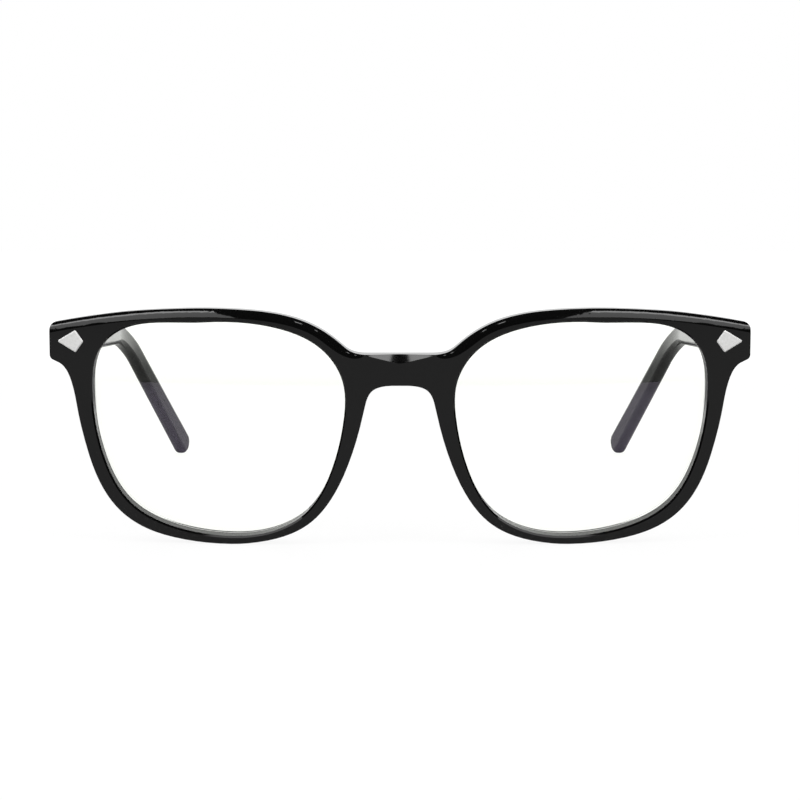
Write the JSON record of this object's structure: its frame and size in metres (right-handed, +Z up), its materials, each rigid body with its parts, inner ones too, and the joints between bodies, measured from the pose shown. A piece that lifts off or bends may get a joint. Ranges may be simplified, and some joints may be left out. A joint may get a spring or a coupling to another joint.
{
  "type": "eyeglasses",
  "caption": "Square full-rim spectacles with a straight bridge, bevelled brow, kite-shaped rivets on the end pieces and folding temples with ear bends.",
  "frame": {"origin": "middle of the footprint at the height of the table that the rims and temple tips touch", "axes": "+X towards the wearer's left, +Y from the front towards the wearer's ears, +Z up"},
  "size_m": [0.1416, 0.139, 0.0475],
  "materials": {
    "front_acetate": "polished black cellulose acetate",
    "temple_acetate": "polished black cellulose acetate",
    "pad_acetate": "polished black cellulose acetate",
    "lens_clear": "clear, coated against reflections",
    "rivet_silver": "satin silver face with polished bevels",
    "hinge_steel": "tumbled nickel silver",
    "screw_steel": "bright turned steel",
    "core_wire": "drawn nickel silver wire"
  },
  "bodies": {
    "front_assembly": {"front": "front_acetate", "lens_left": "lens_clear", "lens_right": "lens_clear", "nose_pad_left": "pad_acetate", "nose_pad_right": "pad_acetate", "rivet_shield_left": "rivet_silver", "rivet_shield_right": "rivet_silver", "hinge_front_left": "hinge_steel", "hinge_front_right": "hinge_steel", "hinge_screw_left": "screw_steel", "hinge_screw_right": "screw_steel"},
    "temple_arm_right": {"hinge_temple_right": "hinge_steel", "temple_right": "temple_acetate", "temple_core_right": "core_wire"},
    "temple_arm_left": {"hinge_temple_left": "hinge_steel", "temple_left": "temple_acetate", "temple_core_left": "core_wire"}
  },
  "joints": [
    {"name": "temple_fold_right", "type": "hinge", "parent": "front_assembly", "child": "temple_arm_right", "pos_m": [-0.0646, -0.05617, 0.04091], "axis": [0, 0, -1], "range_deg": [0, 87]},
    {"name": "temple_fold_left", "type": "hinge", "parent": "front_assembly", "child": "temple_arm_left", "pos_m": [0.0646, -0.05617, 0.04091], "axis": [0, 0, 1], "range_deg": [0, 80]}
  ]
}
